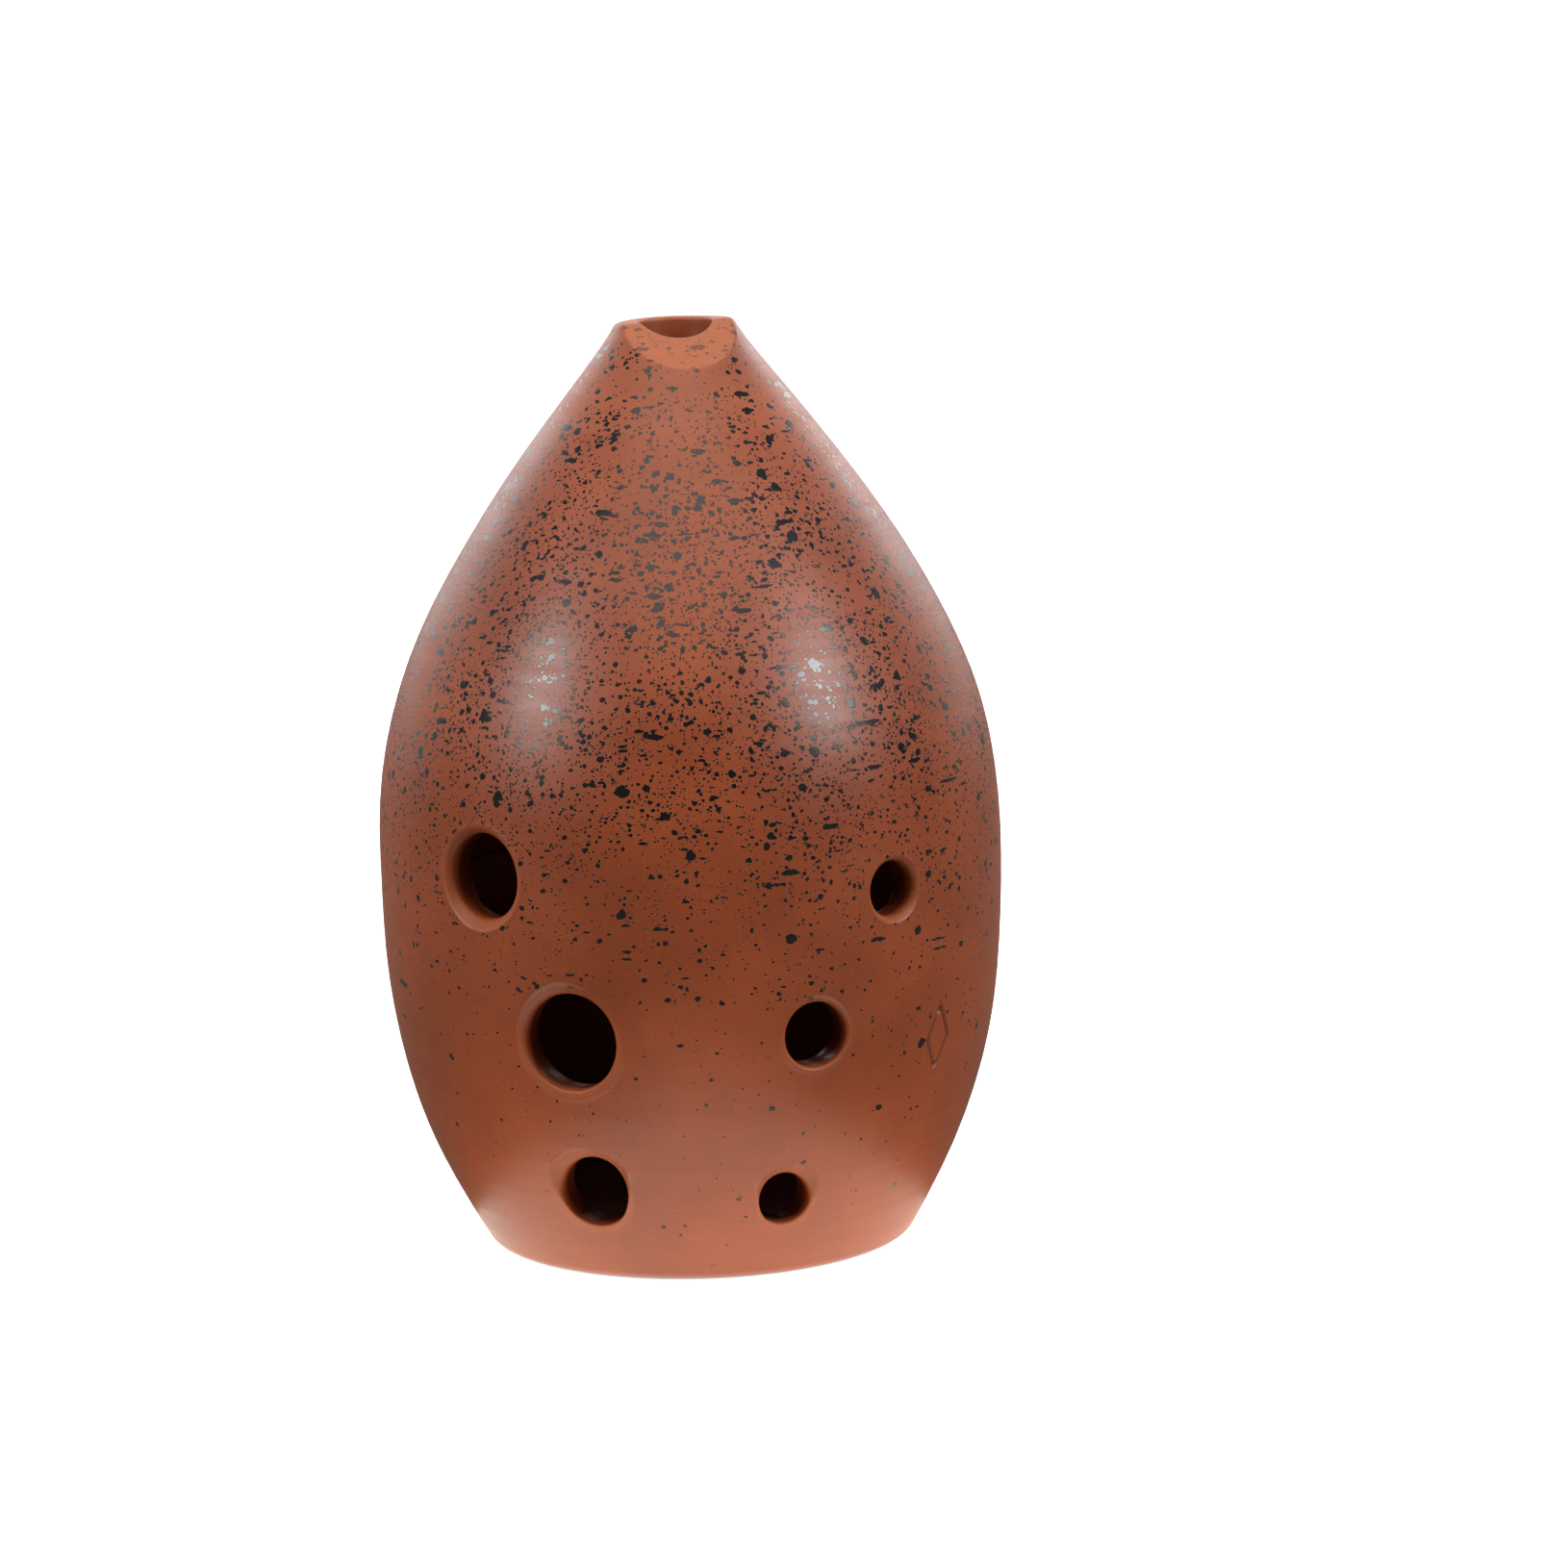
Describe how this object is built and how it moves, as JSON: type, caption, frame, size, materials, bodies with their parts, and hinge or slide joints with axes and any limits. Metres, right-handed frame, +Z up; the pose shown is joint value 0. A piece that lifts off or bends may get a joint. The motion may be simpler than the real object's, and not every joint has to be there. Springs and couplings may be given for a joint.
{
  "type": "ocarina",
  "caption": "Egg-shaped clay vessel flute with a bevelled mouth hole at the top, finger holes front and back and a flat base.",
  "frame": {"origin": "centre of the flat base, on the surface that the vessel stands on", "axes": "+Z up along the vessel's axis to the mouth, -Y the front with the six finger holes, +X to the right as seen from the front"},
  "size_m": [0.071, 0.071, 0.105],
  "materials": {
    "lower_shell_clay": "smooth burnished terracotta with a few black glaze specks",
    "upper_shell_clay": "smooth burnished terracotta with dense black glaze spatter",
    "mouth_ring_clay": "smooth pale terracotta with smeared glaze specks",
    "base_slab_clay": "bare matt terracotta with turning marks",
    "seam_coil_clay": "rough unburnished terracotta, inside the vessel"
  },
  "bodies": {
    "root": {"lower_shell": "lower_shell_clay", "upper_shell": "upper_shell_clay", "mouth_ring": "mouth_ring_clay", "base_slab": "base_slab_clay", "seam_coil": "seam_coil_clay"}
  },
  "joints": []
}
